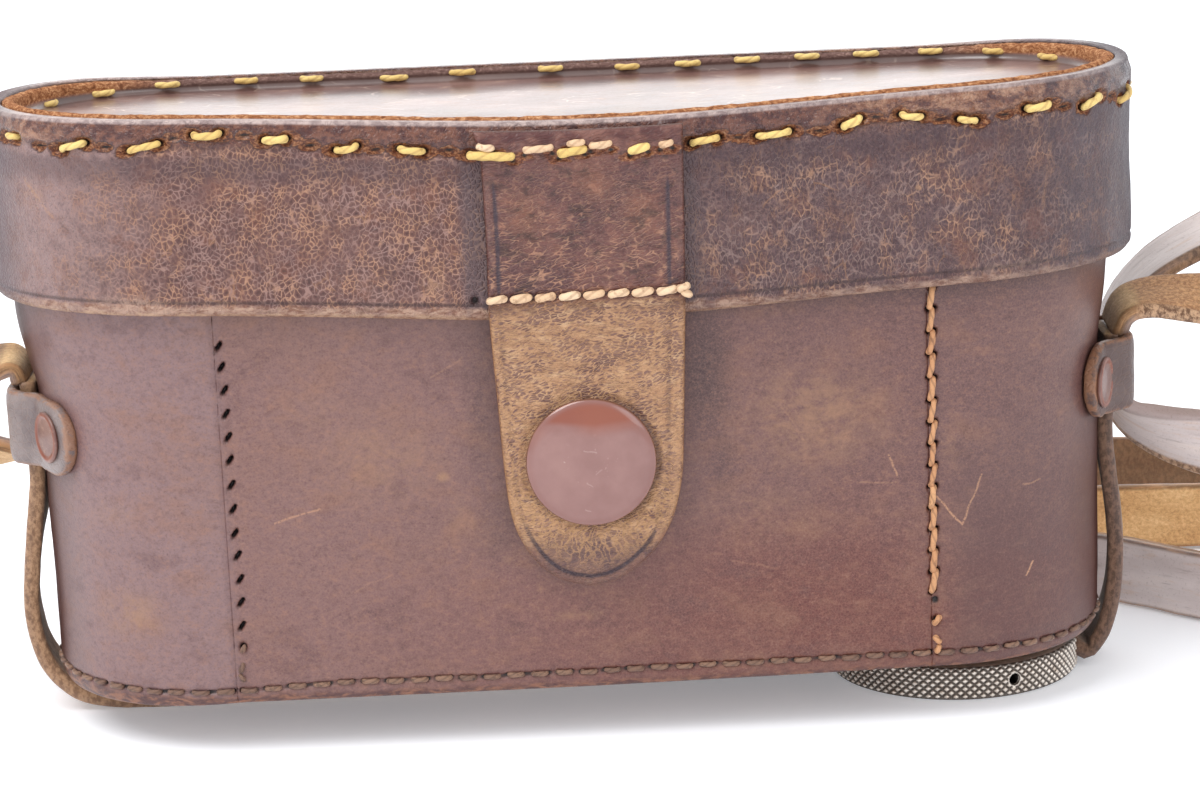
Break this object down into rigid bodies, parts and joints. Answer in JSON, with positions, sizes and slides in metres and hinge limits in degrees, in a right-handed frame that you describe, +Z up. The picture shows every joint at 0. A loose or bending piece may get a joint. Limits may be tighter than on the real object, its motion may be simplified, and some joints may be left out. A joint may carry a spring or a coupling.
{
  "type": "camera case",
  "caption": "Box-shaped leather camera case with a hinged cap lid, press-stud closing flap, screw in the base and a strap slung through end keepers.",
  "frame": {"origin": "middle of the footprint of the case with its strap sling, at the level it stands on", "axes": "+Z up, +X to the right when looking at the flap, -Y towards the flap (front)"},
  "size_m": [0.28, 0.1065, 0.085],
  "materials": {
    "leather_body": "smooth worn brown hide with scratches",
    "leather_lid": "dark brown hide, crackled, worn tan at the edges",
    "leather_flap": "tan where the finish has worn off, crackled",
    "leather_keeper": "grey-brown hide",
    "strap_leather": "grey-brown grain side, tan suede flesh side",
    "board": "raw board",
    "lining": "short red-brown pile",
    "thread_dark": "waxed linen thread, darkened",
    "thread_orange": "waxed linen thread",
    "thread_yellow": "coarse yellow linen thread",
    "thread_cream": "cream linen thread",
    "cap_enamel": "glossy brown enamel",
    "rivet_metal": "brown enamelled tubular rivet, worn",
    "knob_metal": "worn nickel plate, diamond knurl on the rim",
    "metal_bright": "nickel plate",
    "brass": "turned brass"
  },
  "bodies": {
    "case_body": {"body_front_panel": "leather_body", "body_back_wrap": "leather_body", "base_panel": "leather_body", "base_stiffener": "board", "body_lining": "lining", "base_lining": "lining", "base_thread": "thread_dark", "left_seam_thread": "thread_dark", "right_seam_thread": "thread_orange", "snap_stud": "metal_bright", "snap_stud_backplate": "metal_bright", "keeper_left": "leather_keeper", "keeper_right": "leather_keeper", "keeper_rivets_left": "rivet_metal", "keeper_rivets_right": "rivet_metal", "hinge_body_leaf": "leather_lid", "hinge_body_thread": "thread_dark", "tripod_bush": "brass", "strap_sling": "strap_leather", "strap_free": "strap_leather"},
    "tripod_screw": {"tripod_knob": "knob_metal", "tripod_stud": "knob_metal", "tripod_retaining_ring": "metal_bright"},
    "lid": {"lid_band": "leather_lid", "lid_top_panel": "leather_lid", "lid_lining": "lining", "lid_rim_thread": "thread_yellow", "hinge_lid_leaf": "leather_lid", "hinge_lid_thread": "thread_dark", "flap_root": "leather_lid", "flap_thread": "thread_cream"},
    "flap": {"closure_flap": "leather_flap", "snap_cap": "cap_enamel", "snap_socket": "metal_bright", "snap_spring": "metal_bright"}
  },
  "joints": [
    {"name": "lid_hinge", "type": "hinge", "parent": "case_body", "child": "lid", "pos_m": [0, 0.0276, 0.062], "axis": [-1, 0, 0], "range_deg": [0, 115]},
    {"name": "flap_fold", "type": "hinge", "parent": "lid", "child": "flap", "pos_m": [0.0021, -0.0305, 0.06065], "axis": [-1, 0, 0], "range_deg": [0, 150]},
    {"name": "screw_turn", "type": "hinge", "parent": "case_body", "child": "tripod_screw", "pos_m": [0.0525, 0, 0], "axis": [0, 0, 1], "continuous": true}
  ]
}
